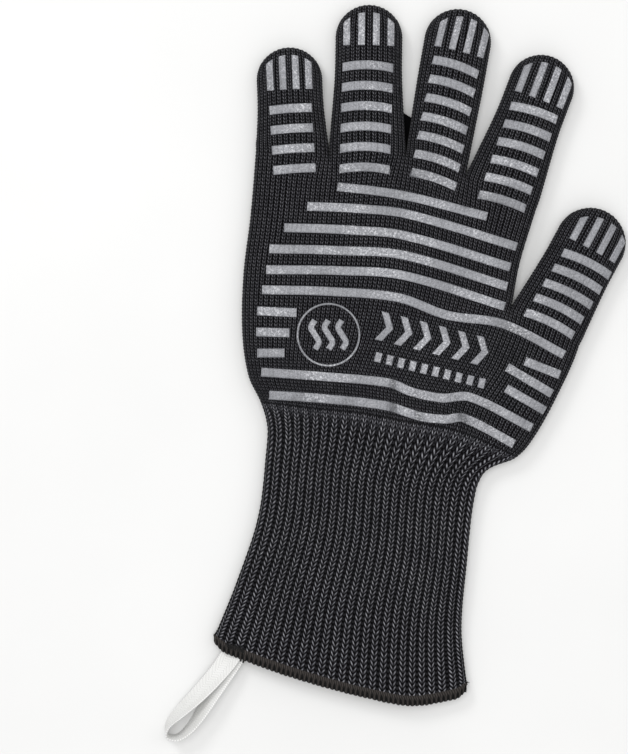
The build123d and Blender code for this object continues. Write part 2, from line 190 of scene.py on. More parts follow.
# Palm stripes on each side: points that the middle of each stripe passes through
PALM_STRIPES = [
    [(-20.9, 60.2), (10, 56), (50.3, 45.9)],
    [(-35.2, 50.7), (-10, 49.5), (12, 47), (64.6, 31.7)],
    [(-46.1, 40.7), (-15, 39.4), (10, 37), (61.4, 22)],
    [(-53.2, 30.7), (-20, 29.7), (10, 27.6), (60, 12.8)],
    [(-54.7, 20.8), (-20, 20.2), (10, 18), (58.8, 3.4)],
    [(-56.6, 11.3), (-25, 10.4), (8, 7.4), (31, -0.8), (58, -5), (87, -19.6)],
    [(-58.9, 1.3), (-39.9, 0.3)],
    [(-59.4, -8.7), (-43.3, -9.2)],
    [(-58.9, -18.7), (-45.6, -18.7)],
    [(-57, -27.7), (-28, -29.8), (3.8, -32.9), (14, -37), (28.5, -40),
     (42, -39.6), (71.7, -54.3)],
    [(-53.2, -38.6), (-25, -40.5), (2.8, -43.8), (18, -48.6), (30, -50),
     (39, -49.5), (63.2, -61.9)],
    [(67.9, -22.5), (85, -29.1)],
    [(59.4, -25.3), (81.2, -38.1)],
    [(58.9, -35.3), (77.9, -46.2)],
]
BACK_STRIPES = [
    [(-31, 52.2), (5, 53.6), (41, 53)],
    [(-44, 42.5), (-27, 42.3)],
    [(-54, 33.2), (-25.7, 33.7)],
    [(-58.5, 22.1), (-24.7, 24.2)],
    [(-59, 12.3), (-23.6, 15.3)],
    [(-59, 3.9), (-22, 6.5)],
    [(-59, -5.5), (-43.6, -4.5)],
    [(-59, -15), (-44.7, -14.3)],
    [(-57, -24), (-28, -22.3), (0, -21.5), (30, -24), (62, -34)],
    [(-54, -32.2), (-28, -30.4), (0, -29.6), (28, -32), (64, -43)],
    [(-50, -42.1), (-25, -39.8), (0, -38.5), (26, -41), (58, -52)],
]

# Wrinkles of the upper side: x and y of the middle, direction in degrees from +X, half length, half
# width, height
WRINKLES = [
    (5.6, -45, 88, 18, 2.2, -1.7),
    (0, -43, 90, 15, 2.8, 0.9),
    (11.5, -46, 96, 14, 2.8, 0.9),
    (17.5, -49, 100, 12, 2.2, -1),
    (27, -46, 88, 14, 4, 0.6),
    (33.5, -47, 105, 12, 2.4, 0.9),
    (38.5, -49, 108, 12, 2.2, -1.3),
    (45, -50, 122, 13, 2.6, 1),
    (57, -52, 125, 14, 3.5, -0.7),
    (64, -52, 122, 12, 3, 0.7),
    (-14, -40, 80, 12, 3, -0.6),
    (-30, -36, 80, 10, 2.6, -0.6),
    (-40, -42, 70, 14, 5, -0.7),
    (-28, -38, 85, 12, 4, 0.6),
    (28, 2, -16, 26, 6, 0.7),
    (40, -10, -20, 24, 5, -0.6),
    (62, -8, -30, 14, 4, -1),
    (-30, 62, 10, 20, 6, -0.6),
    (10, 66, -4, 18, 5, -0.8),
    (45, 55, -24, 18, 5, -0.7),
    (-22.5, 68.5, 105, 7, 2.6, -2),
    (12, 67.5, 95, 7, 2.6, -2),
    (41.5, 56.5, 78, 7, 2.6, -2),
    (-20, -100, 96, 30, 9, 0.8),
    (12, -120, 84, 34, 8, -0.8),
    (-48, -125, 70, 26, 7, -0.6),
]
SWELL = 0.35  # height of the slow unevenness everywhere
CRUMPLE = 0.06  # height of the fine crumples, most of all in the lowest stripes
CRUMPLE_OVER = (-34.0, -12.0)  # heights in the plan between which they die down
CRUMPLE_LEAST = 0.35
CRUMPLE_WAVES = np.stack(  # direction, length and phase of each
    [rng.uniform(0, np.pi, 10), rng.uniform(3.5, 8.0, 10), rng.uniform(0, 6.28, 10)], 1
)

# Overlocked hem
HEM_LENGTH = 125.0  # of one side
HEM_STEP = 0.13  # between the mesh lines across the threads
HEM_ROWS = 9  # mesh lines along each of its stretches
SATIN_PITCH = 1.15
SATIN_SLANT = 0.35
LOOP_PITCH = 2.3
LOOP_OVER = (0.9, 2.9)  # distances from the edge between which loops give way to the satin
HEM_STAND = 0.75  # how far the threads stand above the knit
HEM_SINK = 0.2  # how far the band's border goes into it
HEM_HOLLOW = 0.2  # depth of the hollows between the threads
BARTACK_STITCHES = 9
BARTACK_X = -69.3  # its middle
BARTACK_SLOPE = 0.3
TAILS = [  # loose ends of its thread, with the radius and where the twist begins
    ([(-66.6, -162.2, 8.0), (-65.9, -163.8, 7.4), (-65.4, -165.4, 6.0), (-65.8, -166.6, 5.2)], 0.42, 0.0),
    ([(-66.9, -162.4, 7.6), (-66.6, -164.2, 7.0), (-66.9, -165.8, 5.8)], 0.36, 2.0),
]

# Hanging tape
TAPE_HALF = 5.0
TAPE_LINES = 37  # mesh lines over its width
TAPE_CORE = 0.315  # from its middle to the hollows of the weave
TAPE_EDGE = 0.4  # roundness of its edges
TAPE_CUP = 0.5  # how far they stand above its middle
WEAVE_RISE = 0.12
WEAVE_PITCH = 1.1
WEAVE_TURN = 3.0  # width of one leg of the herringbone
# Middle of the tape and how far it leans from flat, in degrees: out along one limb and back
TAPE_ROUTE = [
    (-68.2, -155, 4.6, 12), (-71.6, -163.2, 4.9, 20), (-78.6, -172.6, 5.4, 34),
    (-87, -181.8, 5.2, 44), (-95, -189.6, 4.9, 58), (-101, -196.2, 4.9, 76),
    (-101.8, -201, 4.9, 90), (-97, -201.8, 4.9, 100), (-91.4, -197.4, 4.9, 112),
    (-86.2, -190.4, 4.9, 122), (-80.8, -181.8, 4.7, 130), (-75.2, -172.8, 4.2, 140),
    (-70.2, -164.2, 3.7, 156), (-66.4, -155.5, 3.4, 166),
]


# ------------ small tools
def smooth(x, start, end):
    """0 before start, 1 after end, and a smooth rise between them."""
    t = np.clip((x - start) / (end - start), 0.0, 1.0)
    return t * t * (3.0 - 2.0 * t)


def rounded(t):
    """A quarter circle's height: 0 at t = 0, and level at 1 from t = 1 on."""
    t = np.clip(t, 0.0, 1.0)
    return np.sqrt(1 - (1 - t) ** 2)


def wave(turns):
    """Waves between 0 and 1, with a crest at every whole turn."""
    return 0.5 + 0.5 * np.cos(2 * np.pi * turns)


def dips(turns):
    """Waves between 0 and 1, with a hollow at every whole turn."""
    return 0.5 - 0.5 * np.cos(2 * np.pi * turns)


def unit(vectors):
    """The vectors along the last axis, at length 1."""
    return vectors / np.maximum(np.linalg.norm(vectors, axis=-1, keepdims=True), 1e-9)


def run_along(points):
    """Distance along a line of points, from its start to each of them."""
    return np.concatenate([[0], np.cumsum(np.linalg.norm(np.diff(points, axis=0), axis=1))])


def read_at(at, keys, columns):
    """Every column of a table, read at some places between its keys."""
    return np.stack([np.interp(at, keys, column) for column in columns.T], axis=1)


def turned_by(degrees):
    """Cosine and sine of an angle."""
    return math.cos(math.radians(degrees)), math.sin(math.radians(degrees))


def tangents(at, values):
    """Slopes at the keys of a smooth curve through them."""
    slopes = np.empty_like(values)
    shape = (-1,) + (1,) * (values.ndim - 1)
    slopes[1:-1] = (values[2:] - values[:-2]) / (at[2:] - at[:-2]).reshape(shape)
    slopes[0] = (values[1] - values[0]) / (at[1] - at[0])
    slopes[-1] = (values[-1] - values[-2]) / (at[-1] - at[-2])
    return slopes


def cubic(p0, p1, m0, m1, s):
    """Cubic Hermite curve from p0 to p1, with the slopes over the whole step."""
    s2, s3 = s * s, s * s * s
    return (2 * s3 - 3 * s2 + 1) * p0 + (s3 - 2 * s2 + s) * m0 + (3 * s2 - 2 * s3) * p1 + (s3 - s2) * m1


def through(at, values, t):
    """The smooth curve through values at keys, read at t."""
    at, values, t = np.asarray(at, float), np.asarray(values, float), np.asarray(t, float)
    slopes = tangents(at, values)
    i = np.clip(np.searchsorted(at, t, side="right") - 1, 0, len(at) - 2)
    step = at[i + 1] - at[i]
    shape = t.shape + (1,) * (values.ndim - 1)
    s = ((t - at[i]) / step).reshape(shape)
    step = step.reshape(shape)
    return cubic(values[i], values[i + 1], slopes[i] * step, slopes[i + 1] * step, s)


def along_path(points, spacing):
    """Evenly spaced points on the smooth curve through a few points, and their distance along it.

    Columns past x, y and z are carried along the curve and add nothing to its length.
    """
    points = np.asarray(points, float)
    chord = run_along(points[:, :3])
    fine = through(chord, points, np.linspace(0, chord[-1], 400))
    run = run_along(fine[:, :3])
    count = max(2, int(round(run[-1] / spacing)) + 1)
    s = np.linspace(0, run[-1], count)
    return read_at(s, run, fine), s


# ------------ the plan: where each stitch lies
PLAN = np.array(list(ROWS.values()))


def count_courses():
    """The course number of each row, from the knuckles down."""
    gaps = np.linalg.norm(np.diff(PLAN, axis=0), axis=2).mean(axis=1)
    jersey = np.arange(len(gaps)) < list(ROWS).index("last")
    return np.concatenate([[0], np.cumsum(np.round(gaps / np.where(jersey, COURSE, RIB_COURSE)))])


COURSES = count_courses()
ROW_V = dict(zip(ROWS, COURSES))
CROTCH_V, LAST_V, WRIST_V = ROW_V["crotch"], ROW_V["last"], ROW_V["wrist"]
BAND_V, HEM_V = ROW_V["band"], ROW_V["hem"]
RIB_START = LAST_V - 3.0


def plan(v, u):
    """Plan position of the palm's and cuff's stitches, for whole rows of v and columns of u."""
    edges = through(COURSES, PLAN, v)  # rows, edges, xy
    count = EDGES.astype(float)
    column = np.clip(np.searchsorted(EDGES, u, side="right") - 1, 0, len(WALES) - 1)
    width = count[column + 1] - count[column]
    w = (u - count[column]) / width
    inner = 1.0 - smooth(v * COURSE, 0.0, SQUEEZE_FADE)
    split = 1.0 - smooth((v - CROTCH_V) * COURSE, 0.0, SQUEEZE_FADE)
    pull = np.stack([np.ones_like(v), inner, inner, inner, split, np.ones_like(v)], axis=1)
    near = np.where(w < 0.5, pull[:, column], pull[:, column + 1])
    w = w[None] - SQUEEZE * np.sin(2 * np.pi * w)[None] * near
    slopes = np.moveaxis(tangents(count, np.moveaxis(edges, 1, 0)), 0, 1)
    step = width[None, :, None]
    starts, ends = slopes[:, column] * step, slopes[:, column + 1] * step
    flat = cubic(edges[:, column], edges[:, column + 1], starts, ends, w[..., None])
    corner = 2.0 - smooth(u, 0.0, CORNER) - smooth(EDGES[-1] - u, 0.0, CORNER)
    flat[..., 1] += CORNER_LIFT * smooth(v, HEM_V - CORNER, HEM_V)[:, None] * corner[None] ** 2
    return flat


class Digit:
    """A digit's own frame and its grid of stitches, from the tip down to its join with the palm."""

    def __init__(self, name):
        self.name = name
        index = list(WALES).index(name)
        self.u0, self.u1 = float(EDGES[index]), float(EDGES[index + 1])
        self.base_v = CROTCH_V if name == "thumb" else 0.0
        steps = int(round((self.u1 - self.u0) * ACROSS))
        self.u = np.linspace(self.u0, self.u1, steps + 1)
        base = plan(np.array([self.base_v]), self.u)[0]
        tip, self.r = TIPS[name]
        self.origin = (base[0] + base[-1]) / 2
        run = np.array(tip) - self.origin
        self.length = float(np.linalg.norm(run))
        self.along = run / self.length
        self.across = np.array([self.along[1], -self.along[0]])
        self.half_base = float((base[-1] - base[0]) @ self.across) / 2
        courses = int(round(self.length / COURSE))
        self.v = self.base_v - courses + np.arange(courses * ALONG + 1) / ALONG
        self.xy = self.lay_out(base, courses)

    def half_width(self, y):
        """Half width at a height above the base: straight sides and a round tip."""
        start = self.length - self.r
        straight = self.half_base + (self.r - self.half_base) * smooth(y, -4.0, start * 0.8)
        tip = np.sqrt(np.maximum(self.r**2 - np.maximum(y - start, 0.0) ** 2, 0.0))
        return np.where(y > start, tip, straight)

    def lay_out(self, base, courses):
        """Plan position of each stitch: rows that follow the round tip, and then level out."""
        y = (self.base_v - self.v) / courses * self.length
        from_tip = self.length - y
        drop = DROP + (TIP_DROP * self.r - DROP) * np.exp(-from_tip / TIP_FADE)
        half = self.half_width(y - drop)
        w = (self.u - self.u0) / (self.u1 - self.u0)
        w = 2.0 * (w - SQUEEZE * 1.5 * np.sin(2 * np.pi * w)) - 1.0
        bend = (ARC[0] + ARC[1] * np.exp(-from_tip / ARC[2]))[:, None]
        bow = (1 - np.sqrt(1 - (bend * w) ** 2)) / (1 - np.sqrt(1 - bend**2))
        own = self.place(np.stack([half[:, None] * w, y[:, None] - drop[:, None] * bow], axis=-1))
        join = (1.0 - smooth(y, 0.0, JOIN))[:, None, None]
        rise = y[:, None, None] * self.along
        return own * (1.0 - join) + (base[None] + rise) * join

    def place(self, points):
        """Points of the digit's own frame, in the plan."""
        return self.origin + points[..., :1] * self.across + points[..., 1:] * self.along


PALM_U = np.linspace(0, EDGES[-1], int(EDGES[-1]) * ACROSS + 1)
PALM_V = np.arange(int(HEM_V) * ALONG + 1) / ALONG
PALM_XY = plan(PALM_V, PALM_U)
DIGITS = {name: Digit(name) for name in WALES}


# ------------ how thick the glove is
def outline():
    """The glove's edge, as the ends of short straight stretches."""
    step = 6  # mesh lines to one stretch
    crotch_row = int(CROTCH_V) * ALONG
    crossing = int(CROSSING) * ACROSS
    lines = [PALM_XY[::step, 0], PALM_XY[: crotch_row + 1 : step, crossing], PALM_XY[crotch_row::step, -1]]
    for digit in DIGITS.values():
        lines += [digit.xy[::step, 0], digit.xy[0, ::step], digit.xy[::step, -1]]
        lines += [digit.xy[-step - 1 :, 0][::2], digit.xy[-step - 1 :, -1][::2]]
    starts = np.concatenate([line[:-1] for line in lines])
    ends = np.concatenate([line[1:] for line in lines])
    return starts, ends


OUTLINE = outline()


def edge_distance(xy):
    """Distance in the plan from each point to the glove's edge."""
    starts, ends = OUTLINE
    run = ends - starts
    size = np.maximum((run**2).sum(axis=1), 1e-9)
    flat = xy.reshape(-1, 2)
    found = []
    for part in np.array_split(flat, len(flat) // 4000 + 1):
        rel = part[:, None] - starts[None]
        t = np.clip((rel * run[None]).sum(axis=2) / size, 0.0, 1.0)
        gap = rel - t[..., None] * run[None]
        found.append(np.sqrt((gap**2).sum(axis=2).min(axis=1)))
    return np.concatenate(found).reshape(xy.shape[:-1])


def grid_distance(xy, row_step=ALONG, column_step=ACROSS // 2):
    """edge_distance over a grid, worked out at some of its rows and columns."""
    rows, cols = (
        np.unique(np.append(np.arange(0, size, step), size - 1))
        for size, step in zip(xy.shape, (row_step, column_step))
    )
    values = edge_distance(xy[np.ix_(rows, cols)])
    lines = [np.interp(np.arange(xy.shape[0]), rows, column) for column in values.T]
    return np.stack([np.interp(np.arange(xy.shape[1]), cols, line) for line in np.stack(lines, axis=1)])


def wrinkles(xy):
    """Height of the soft wrinkles at each point."""
    total = np.zeros(xy.shape[:-1])
    for middle_x, middle_y, turn, reach, width, height in WRINKLES:
        c, s = turned_by(turn)
        x, y = xy[..., 0] - middle_x, xy[..., 1] - middle_y
        lengthwise, sideways = x * c + y * s, y * c - x * s
        total += height * np.exp(-((lengthwise / reach) ** 2) - (sideways / width) ** 2)
    total += SWELL * np.sin(xy[..., 0] / 9.0 + 1.3) * np.sin(xy[..., 1] / 11.0 + 0.4)
    crumple = CRUMPLE * (1.0 - (1.0 - CRUMPLE_LEAST) * smooth(xy[..., 1], *CRUMPLE_OVER))
    for turn, length, phase in CRUMPLE_WAVES:
        x = xy[..., 0] * math.cos(turn) + xy[..., 1] * math.sin(turn)
        total += crumple * np.sin(2 * np.pi * x / length + phase)
    return total


def heights(xy, v, d):
    """Height of the upper and under side of the bare cloth."""
    rise = FINGER_RISE * rounded(d / SIDE_TOP) + (PALM_RISE - FINGER_RISE) * smooth(d, *PALM_OVER)
    top = EDGE_Z + rise + wrinkles(xy) * smooth(d, *WRINKLES_OVER)
    under = EDGE_Z - (EDGE_Z - FLOOR) * rounded(d / SIDE_UNDER)
    thin = 1.0 - WRIST_THIN * smooth(v, LAST_V - 4, WRIST_V + 3)
    thin -= CUFF_THIN * smooth(v, WRIST_V + 8, HEM_V)
    thin = thin.reshape(thin.shape + (1,) * (xy.ndim - 1 - thin.ndim))
    return FLOOR + (top - FLOOR) * thin, FLOOR + (under - FLOOR) * thin


# ------------ the stitches
def stitch(u, v):
    """Height of the knit above its cloth, and how far out the yarn lies, from 0 to 1, which the materials
    turn into painted shade in the hollows and a painted highlight on the crests.
    """
    rib = smooth(v, RIB_START, RIB_START + RIB_FADE)
    g = (u / RIB_WALES) % 1.0
    gathered = np.floor(u / RIB_WALES) * RIB_WALES + np.interp(g, *GATHERED)
    wale = (u * (1 - rib) + gathered * rib) % 1.0
    side = np.abs(2.0 * wale - 1.0)  # 0 in the middle of a wale and 1 at its sides
    leg = 0.42 + 0.14 * rib  # where a leg is highest
    furrow = 0.40 + 0.25 * rib  # depth of the furrow between the two legs
    inner = 1.0 - furrow + furrow * np.sqrt(np.clip(side / leg, 0.0, 1.0))
    outer = np.sqrt(np.clip(1.0 - (np.clip(side - leg, 0.0, 1.0) / (1.0 - leg)) ** 2, 0.0, 1.0))
    loop = dips(v + SLANT * side) ** 1.25
    floor = 0.46 - 0.26 * rib  # level where one loop slips under the next
    yarn = inner * outer ** (1.7 - 0.7 * rib) * (floor + (1 - floor) * loop)
    crest = np.cos(2 * np.pi * (g - 0.5))
    height = STITCH * yarn + rib * RIB_RISE * crest
    # painted shade in the furrow between two ribs, in the colour only
    out = yarn * (1.0 - RIB_SHADE * rib * (0.5 - 0.5 * crest) ** 3)
    return height * (1.0 - smooth(v, BAND_V - 1.6, BAND_V)), out


def surface(xy, z, sign):
    """The cloth as points, with normals that face outwards: sign is 1 above and -1 below."""
    points = np.concatenate([xy, z[..., None]], axis=-1)
    down = np.gradient(points, axis=0)
    over = np.gradient(points, axis=1)
    return points, unit(np.cross(over, -down) * sign)


class Face:
    """One side of the glove over one grid: bare cloth, normals and stitches."""

    def __init__(self, xy, u, v, sign):
        self.xy, self.u, self.v, self.sign = xy, u, v, sign
        self.d = grid_distance(xy)
        top, under = heights(xy, v, self.d)
        self.cloth, normal = surface(xy, top if sign > 0 else under, sign)
        uu, vv = np.meshgrid(u, v)
        height, self.out = stitch(uu, vv)
        level = unit(normal * (1.0, 1.0, 0.0))
        edge = 1.0 - smooth(self.d, 0.2, 1.4)
        beads = EDGE_BEAD * edge * dips(vv + uu)
        self.knit = self.cloth + normal * (height * (1 - edge))[..., None] + level * beads[..., None]


SIDES = ((1, "palm"), (-1, "back"))
FACES = {("palm", sign): Face(PALM_XY, PALM_U, PALM_V, sign) for sign, _ in SIDES}
FACES |= {(name, sign): Face(digit.xy, digit.u, digit.v, sign)
          for name, digit in DIGITS.items() for sign, _ in SIDES}


# ------------ materials
BLACK = (0.0008, 0.0008, 0.001)
WHITE = (1.0, 1.0, 1.0)


def new_material(name, values):
    """A new material, its node tree and its shader, which gets the values."""
    material = bpy.data.materials.new(name)
    material.use_nodes = True
    shader = material.node_tree.nodes["Principled BSDF"]
    for socket, value in values.items():
        shader.inputs[socket].default_value = value
    return material, material.node_tree, shader


def node(tree, kind, **settings):
    """A node with its inputs and properties set."""
    made = tree.nodes.new(kind)
    for key, value in settings.items():
        if key in made.inputs:
            made.inputs[key].default_value = value
        else:
            setattr(made, key, value)
    return made


def ramp(tree, source, stops):
    """A colour ramp over stops of (position, (r, g, b))."""
    made = tree.nodes.new("ShaderNodeValToRGB")
    elements = made.color_ramp.elements
    while len(elements) < len(stops):
        elements.new(0.5)
    for element, (position, colour) in zip(elements, stops):
        element.position = position
        element.color = (*colour, 1.0)
    tree.links.new(source, made.inputs["Fac"])
    return made.outputs["Color"]


def relief_ramp(tree, stops):
    """A colour ramp from the hollows of the relief to its crests."""
    return ramp(tree, node(tree, "ShaderNodeAttribute", attribute_name="relief").outputs["Fac"], stops)


def noise(tree, scale, detail=3.0, roughness=0.55):
    """Noise in object space, in metres."""
    place = tree.nodes.new("ShaderNodeTexCoord")
    made = node(tree, "ShaderNodeTexNoise", Scale=scale, Detail=detail, Roughness=roughness)
    tree.links.new(place.outputs["Object"], made.inputs["Vector"])
    return made.outputs["Fac"]


def mix(tree, blend_type, factor, a, b):
    """Two colours, multiplied or added."""
    made = node(tree, "ShaderNodeMix", data_type="RGBA", blend_type=blend_type)
    made.inputs["Factor"].default_value = factor
    tree.links.new(a, made.inputs["A"])
    tree.links.new(b, made.inputs["B"])
    return made.outputs["Result"]


def mottle(tree, colour, scale, low, high, dark, detail=3.0, roughness=0.55, share=1.0):
    """The colour multiplied by dark where noise is below low, and unchanged where it is above high."""
    patches = ramp(tree, noise(tree, scale, detail, roughness), [(low, dark), (high, WHITE)])
    return mix(tree, "MULTIPLY", share, colour, patches)


def math_node(tree, operation, a, b):
    """Two values, multiplied or added; b may be a number."""
    made = node(tree, "ShaderNodeMath", operation=operation)
    for socket, value in zip(made.inputs, (a, b)):
        if isinstance(value, (int, float)):
            socket.default_value = value
        else:
            tree.links.new(value, socket)
    return made.outputs["Value"]


def coat(tree, shader, colour, height, distance, strength):
    """Gives the shader its colour, and relief that is too fine for the mesh."""
    tree.links.new(colour, shader.inputs["Base Color"])
    made = node(tree, "ShaderNodeBump", Distance=distance, Strength=strength)
    tree.links.new(height, made.inputs["Height"])
    tree.links.new(made.outputs["Normal"], shader.inputs["Normal"])


def spun(tree, turns, slant):
    """Twisted plies of a yarn: fine slanted lines in stitch coordinates."""
    place = tree.nodes.new("ShaderNodeUVMap")
    turn = node(tree, "ShaderNodeMapping")
    turn.inputs["Rotation"].default_value = (0.0, 0.0, slant)
    tree.links.new(place.outputs["UV"], turn.inputs["Vector"])
    lines = node(tree, "ShaderNodeTexWave", Scale=turns, Distortion=2.5, Detail=2.0)
    lines.inputs["Detail Scale"].default_value = 2.0
    tree.links.new(turn.outputs["Vector"], lines.inputs["Vector"])
    return lines.outputs["Fac"]


def knit_material(name, hollow, mid, light):
    """Black knitted yarn: painted shade in the hollows, charcoal legs with a painted highlight on their
    crests, fuzz and a cloudy change of tone.
    """
    material, tree, shader = new_material(name, {
        "Roughness": 0.78, "Specular IOR Level": 0.04, "Sheen Weight": 0.02, "Sheen Roughness": 0.5,
    })
    # painted shade: the hollows of the relief are painted black, and light is a painted highlight on the
    # crests
    colour = relief_ramp(tree, [(hollow, BLACK), (hollow + 0.36, mid), (0.94, light)])
    colour = mottle(tree, colour, 55.0, 0.3, 0.72, (0.80, 0.80, 0.82))
    colour = mottle(tree, colour, 420.0, 0.36, 0.62, (0.68, 0.68, 0.69), detail=1.0)
    colour = mottle(tree, colour, 1900.0, 0.36, 0.66, (0.55, 0.55, 0.56), detail=2.0, share=0.85)
    lines = math_node(tree, "MULTIPLY", spun(tree, 2.6, 0.6), 0.6)
    coat(tree, shader, colour, math_node(tree, "ADD", lines, noise(tree, 3200.0, 2.0)), 0.00012, 0.8)
    return material


def silicone_material():
    """Grey silicone pressed into the knit: satin, with painted shade over the hollows of the stitches that
    show through, cloudy mottle and painted glints.
    """
    material, tree, shader = new_material("silicone_print", {"Specular IOR Level": 0.6})
    # painted shade: darker where the print lies over the hollows of the stitches and at the bottom of
    # creases
    colour = relief_ramp(tree, [(0.05, (0.09, 0.093, 0.102)), (0.85, (0.31, 0.315, 0.338))])
    colour = mottle(tree, colour, 1200.0, 0.40, 0.60, (0.50, 0.50, 0.51), 4.0, 0.7, share=0.8)
    colour = mottle(tree, colour, 75.0, 0.3, 0.7, (0.80, 0.80, 0.81))
    # painted glints: bright flecks added to the colour in patches
    painted_glints = noise(tree, 1100.0, 3.0, 0.7)
    painted_glints = ramp(tree, painted_glints, [(0.5, (0.0, 0.0, 0.0)), (0.66, (0.34, 0.34, 0.35))])
    painted_glints = mottle(tree, painted_glints, 48.0, 0.44, 0.58, (0.12, 0.12, 0.12), detail=2.0)
    colour = mix(tree, "ADD", 1.0, colour, painted_glints)
    rough = ramp(tree, noise(tree, 900.0), [(0.3, (0.22, 0.22, 0.22)), (0.7, (0.46, 0.46, 0.46))])
    tree.links.new(rough, shader.inputs["Roughness"])
    coat(tree, shader, colour, noise(tree, 1300.0, 4.0, 0.65), 0.00035, 0.9)
    return material


def thread_material(name, dark, light):
    """Sewing thread: fine twist lines and a soft satin gloss."""
    values = {"Roughness": 0.55, "Specular IOR Level": 0.12, "Sheen Weight": 0.03}
    material, tree, shader = new_material(name, values)
    colour = relief_ramp(tree, [(0.05, dark), (0.95, light)])
    colour = mottle(tree, colour, 1700.0, 0.3, 0.7, (0.6, 0.6, 0.6), share=0.8)
    coat(tree, shader, colour, spun(tree, 3.0, 0.9), 0.0001, 0.7)
    return material


def tape_material():
    """White cotton twill with a herringbone weave, painted darker in the hollows of the weave as shade."""
    material, tree, shader = new_material("twill_tape", {"Roughness": 0.85, "Sheen Weight": 0.2})
    stops = [(0.2, (0.42, 0.42, 0.41)), (0.6, (0.68, 0.68, 0.67)), (1.0, (0.77, 0.77, 0.76))]
    colour = mottle(tree, relief_ramp(tree, stops), 120.0, 0.3, 0.7, (0.94, 0.94, 0.93))
    coat(tree, shader, colour, noise(tree, 2600.0), 0.0001, 0.8)
    return material


def lining_material():
    """Cream cotton jersey."""
    material, tree, shader = new_material("cotton_lining", {"Roughness": 0.9, "Sheen Weight": 0.2})
    colour = ramp(tree, spun(tree, 1.0, 0.0), [(0.1, (0.50, 0.47, 0.40)), (0.8, (0.68, 0.65, 0.58))])
    colour = mottle(tree, colour, 1200.0, 0.3, 0.7, (0.8, 0.8, 0.8), share=0.8)
    coat(tree, shader, colour, spun(tree, 1.0, 0.0), 0.0003, 0.8)
    return material


# Each with the name of its slot
# the light colours of both knits are painted highlights on the crests of the stitches
KNIT = knit_material("aramid_knit", 0.30, (0.020, 0.020, 0.0225), (0.30, 0.30, 0.325)), "aramid_knit"
RIBBED = knit_material("aramid_rib", 0.23, (0.058, 0.058, 0.065), (0.50, 0.50, 0.53)), "aramid_rib"
SILICONE = silicone_material(), "silicone_print"
HEM = thread_material("hem_thread", (0.0012, 0.0012, 0.0012), (0.062, 0.054, 0.050)), "hem_thread"
BARTACK = thread_material("bartack_thread", (0.004, 0.004, 0.004), (0.02, 0.02, 0.021)), "bartack_thread"
TAPE = tape_material(), "twill_tape"
LINING = lining_material(), "cotton_liner"


# ------------ meshes
def add_object(name, data):
    """A new object in the scene."""
    made = bpy.data.objects.new(name, data)
    bpy.context.scene.collection.objects.link(made)
    return made


def grid_faces(rows, cols, first, flip, keep=None):
    """Quads of one grid whose points start at number first; keep masks its faces."""
    start = first + (np.arange(rows - 1)[:, None] * cols + np.arange(cols - 1)[None])
    quads = np.stack([start, start + cols, start + cols + 1, start + 1], axis=-1)
    if flip:
        quads = quads[..., ::-1]
    return quads[keep] if keep is not None else quads.reshape(-1, 4)


def make_mesh(name, grids):
    """One mesh from grids of (points in millimetres, u, v, relief, flip, face mask)."""
    points, uvs, reliefs, quads, first = [], [], [], [], 0
    for point, u, v, relief, flip, keep in grids:
        shape = point.shape[:2]
        points.append(point.reshape(-1, 3))
        uvs.append(np.stack([np.broadcast_to(u, shape), np.broadcast_to(v, shape)], -1).reshape(-1, 2))
        reliefs.append(np.broadcast_to(relief, shape).ravel())
        quads.append(grid_faces(*shape, first, flip, keep))
        first += shape[0] * shape[1]
    used, inverse = np.unique(np.concatenate(quads), return_inverse=True)
    points, uvs, reliefs = (np.concatenate(parts)[used] for parts in (points, uvs, reliefs))
    quads = inverse.reshape(-1, 4)
    mesh = bpy.data.meshes.new(name)
    mesh.vertices.add(len(points))
    mesh.vertices.foreach_set("co", (points * MM).astype(np.float32).ravel())
    mesh.loops.add(quads.size)
    mesh.loops.foreach_set("vertex_index", quads.astype(np.int32).ravel())
    mesh.polygons.add(len(quads))
    mesh.polygons.foreach_set("loop_start", np.arange(0, quads.size, 4, dtype=np.int32))
    mesh.polygons.foreach_set("use_smooth", np.ones(len(quads), bool))
    layer = mesh.uv_layers.new(name="UVMap")
    layer.data.foreach_set("uv", uvs[quads.ravel()].astype(np.float32).ravel())
    mesh.attributes.new("relief", "FLOAT", "POINT").data.foreach_set("value", reliefs.astype(np.float32))
    mesh.update(calc_edges=True)
    mesh.validate()
    return mesh


JOINTS = {joint["name"]: joint for joint in frame["record"]["behaviour"]["joints"]}


def bend_over(made, joint_name, reach):
    """Bakes the piece's placement into its mesh; the joint and the reach are not used."""
    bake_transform(made)


def make_piece(name, grids, looks, follows, *nodes):
    """One visible piece that stands for some nodes and follows a body, or is baked in place when given a
    joint and a reach.
    """
    made = add_object(name, make_mesh(name, grids))
    material, slot = looks
    made.data.materials.append(material)
    if isinstance(follows, str):
        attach(made, follows)
    else:
        bend_over(made, *follows)
    if nodes:
        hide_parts(*nodes)
    return made


# ------------ knit and lining
def face_grid(face, rows, keep=None):
    """Some rows of a face's knit, as a grid tuple for make_mesh."""
    return (face.knit[rows], face.u[None], face.v[rows, None], face.out[rows], face.sign < 0, keep)


def lining_grid(face, rows, keep_columns=None):
    """The lining, one ply inside the knit; its sides pinch together beside the edges."""
    top, under = heights(face.xy, face.v, face.d)
    half = np.maximum((top - under) / 2 - PLY, 0.15) * smooth(face.d, 2.0, 6.0)
    z = (top + under) / 2 + face.sign * half
    rows, cols = slice(rows.start, rows.stop, ALONG), slice(ACROSS, -ACROSS, ACROSS // 2)
    points = np.concatenate([face.xy, z[..., None]], axis=-1)[rows, cols]
    v, u = face.v[rows, None], face.u[None, cols]
    keep = keep_columns(v[:-1], u[:, :-1]) if keep_columns else None
    return (points, u, v, 0.5, face.sign < 0, keep)


def palm_only(v, u):
    """Leaves out the thumb's column above its crotch."""
    return (u < CROSSING - 1e-6) | (v >= CROTCH_V - 1e-6)


LAST_ROW_AT = int(LAST_V) * ALONG
HAND_ROWS = slice(0, LAST_ROW_AT + 1)
CUFF_ROWS = slice(LAST_ROW_AT, len(PALM_V))


